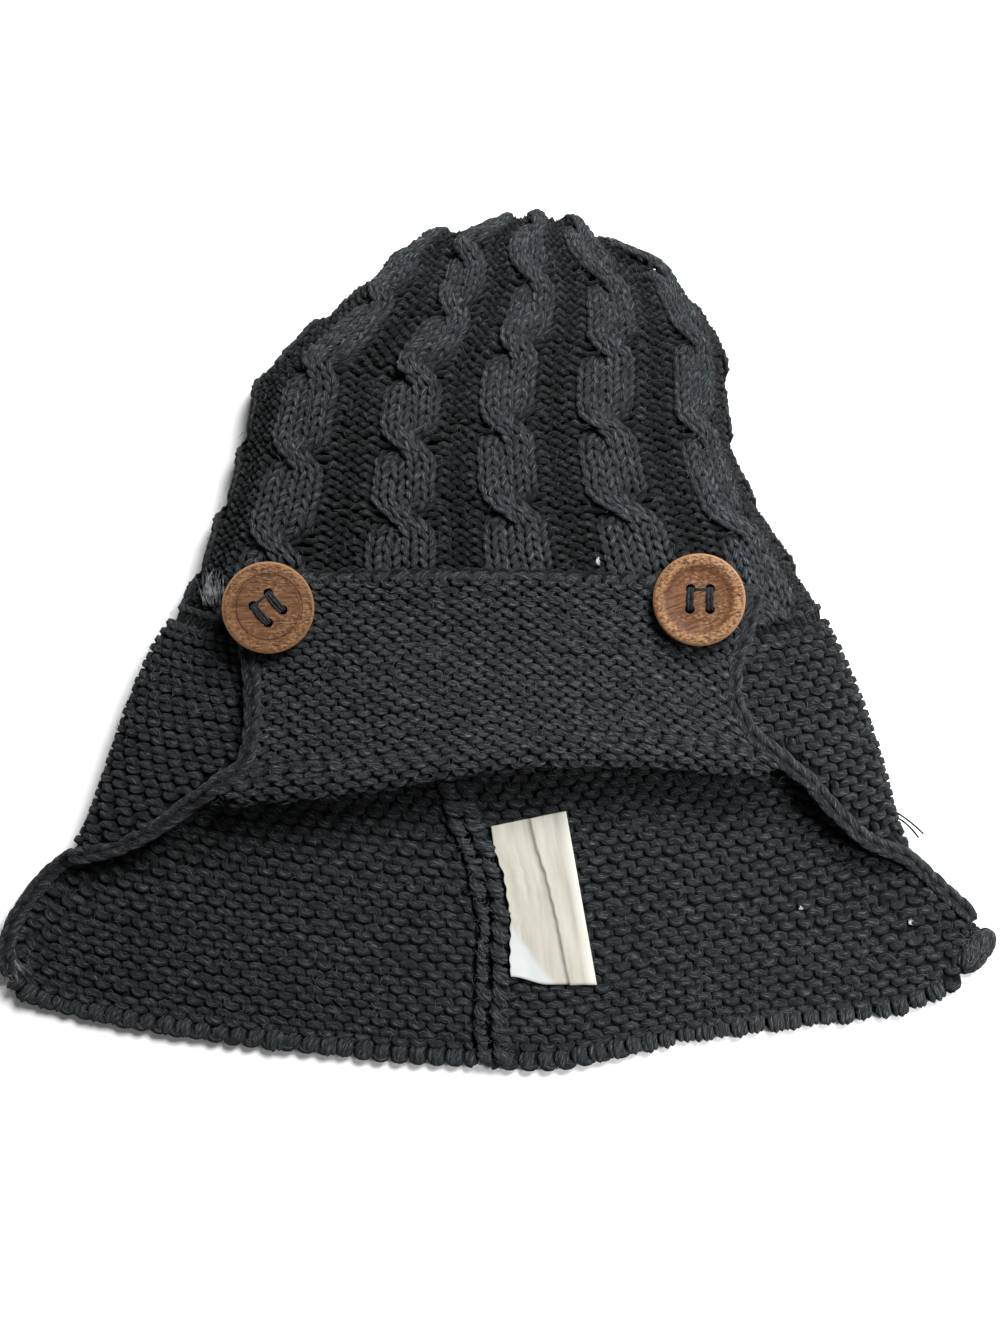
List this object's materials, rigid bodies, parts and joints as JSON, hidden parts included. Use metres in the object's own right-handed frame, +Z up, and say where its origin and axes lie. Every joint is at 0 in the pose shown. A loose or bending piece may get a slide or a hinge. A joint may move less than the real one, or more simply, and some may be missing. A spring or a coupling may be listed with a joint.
{
  "type": "knit baby hat",
  "caption": "Cable-knit cotton baby hat with garter-stitch ear flaps, a turned-up front flap held by wooden buttons and a bare label on the back seam, lying on its back",
  "frame": {"origin": "middle of the footprint of the hat lying on its back, on the table", "axes": "+X across the hat to the picture's right, +Y from the neck hem to the crown top, +Z up from the table to the buttons"},
  "size_m": [0.2933, 0.2537, 0.0477],
  "materials": {
    "crown_knit": "matte heathered charcoal cable knit",
    "garter_knit": "matte heathered charcoal garter knit",
    "flap_knit": "matte heathered charcoal garter knit",
    "seam_knit": "matte heathered charcoal yarn",
    "label_tape": "matte cream woven tape",
    "button_wood_left": "satin brown wood with straight grain",
    "button_wood_right": "satin golden brown wood",
    "thread": "matte near-black thread"
  },
  "bodies": {
    "root": {"crown": "crown_knit", "skirt": "garter_knit", "front_flap": "flap_knit", "back_seam": "seam_knit", "label": "label_tape", "button_left": "button_wood_left", "button_right": "button_wood_right", "thread_left": "thread", "thread_right": "thread"}
  },
  "joints": []
}
